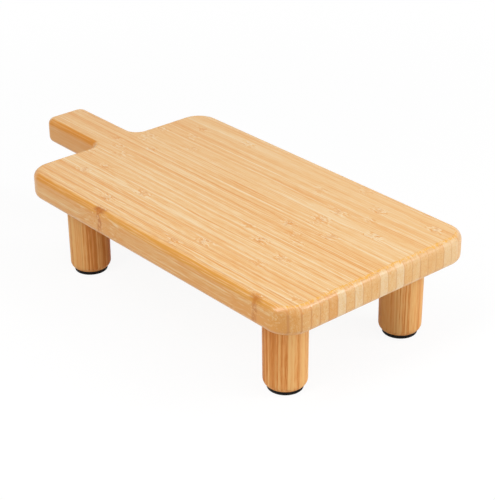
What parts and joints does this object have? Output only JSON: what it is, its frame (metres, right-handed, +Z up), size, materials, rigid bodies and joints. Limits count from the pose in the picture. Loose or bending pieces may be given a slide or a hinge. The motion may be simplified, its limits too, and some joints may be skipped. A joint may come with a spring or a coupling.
{
  "type": "footed serving board",
  "caption": "Laminated bamboo serving board with a short tongue handle, raised on round turned legs with black rubber pads.",
  "frame": {"origin": "on the surface the board stands on, under the middle of the whole length and width, handle included", "axes": "+X along the board, away from the handle; +Y across it, to the left of someone holding the handle; +Z up"},
  "size_m": [0.352, 0.165, 0.078],
  "materials": {
    "bamboo_honey": "satin oiled bamboo, honey tone",
    "bamboo_pale": "satin oiled bamboo, pale tone",
    "bamboo_amber": "satin oiled bamboo, amber tone",
    "bamboo_leg": "satin oiled bamboo, turned",
    "black_rubber": "matte moulded rubber",
    "zinc_steel": "zinc plated"
  },
  "bodies": {
    "root": {"board_strip_01": "bamboo_honey", "board_strip_02": "bamboo_honey", "board_strip_03": "bamboo_honey", "board_strip_04": "bamboo_honey", "board_strip_05": "bamboo_amber", "board_strip_06": "bamboo_amber", "board_strip_07": "bamboo_pale", "board_strip_08": "bamboo_honey", "board_strip_09": "bamboo_pale", "board_strip_10": "bamboo_amber", "board_strip_11": "bamboo_honey", "board_strip_12": "bamboo_pale", "board_strip_13": "bamboo_honey", "board_strip_14": "bamboo_pale", "board_strip_15": "bamboo_amber", "board_strip_16": "bamboo_honey", "board_strip_17": "bamboo_honey", "board_strip_18": "bamboo_honey", "board_strip_19": "bamboo_honey", "board_strip_20": "bamboo_pale", "board_strip_21": "bamboo_pale", "board_strip_22": "bamboo_honey", "board_strip_23": "bamboo_honey", "front_left_leg_stave_1": "bamboo_leg", "front_left_leg_stave_2": "bamboo_leg", "front_left_leg_stave_3": "bamboo_leg", "front_left_leg_stave_4": "bamboo_leg", "front_left_leg_screw": "zinc_steel", "front_left_pad": "black_rubber", "front_right_leg_stave_1": "bamboo_leg", "front_right_leg_stave_2": "bamboo_leg", "front_right_leg_stave_3": "bamboo_leg", "front_right_leg_stave_4": "bamboo_leg", "front_right_leg_screw": "zinc_steel", "front_right_pad": "black_rubber", "rear_left_leg_stave_1": "bamboo_leg", "rear_left_leg_stave_2": "bamboo_leg", "rear_left_leg_stave_3": "bamboo_leg", "rear_left_leg_stave_4": "bamboo_leg", "rear_left_leg_screw": "zinc_steel", "rear_left_pad": "black_rubber", "rear_right_leg_stave_1": "bamboo_leg", "rear_right_leg_stave_2": "bamboo_leg", "rear_right_leg_stave_3": "bamboo_leg", "rear_right_leg_stave_4": "bamboo_leg", "rear_right_leg_screw": "zinc_steel", "rear_right_pad": "black_rubber"}
  },
  "joints": []
}
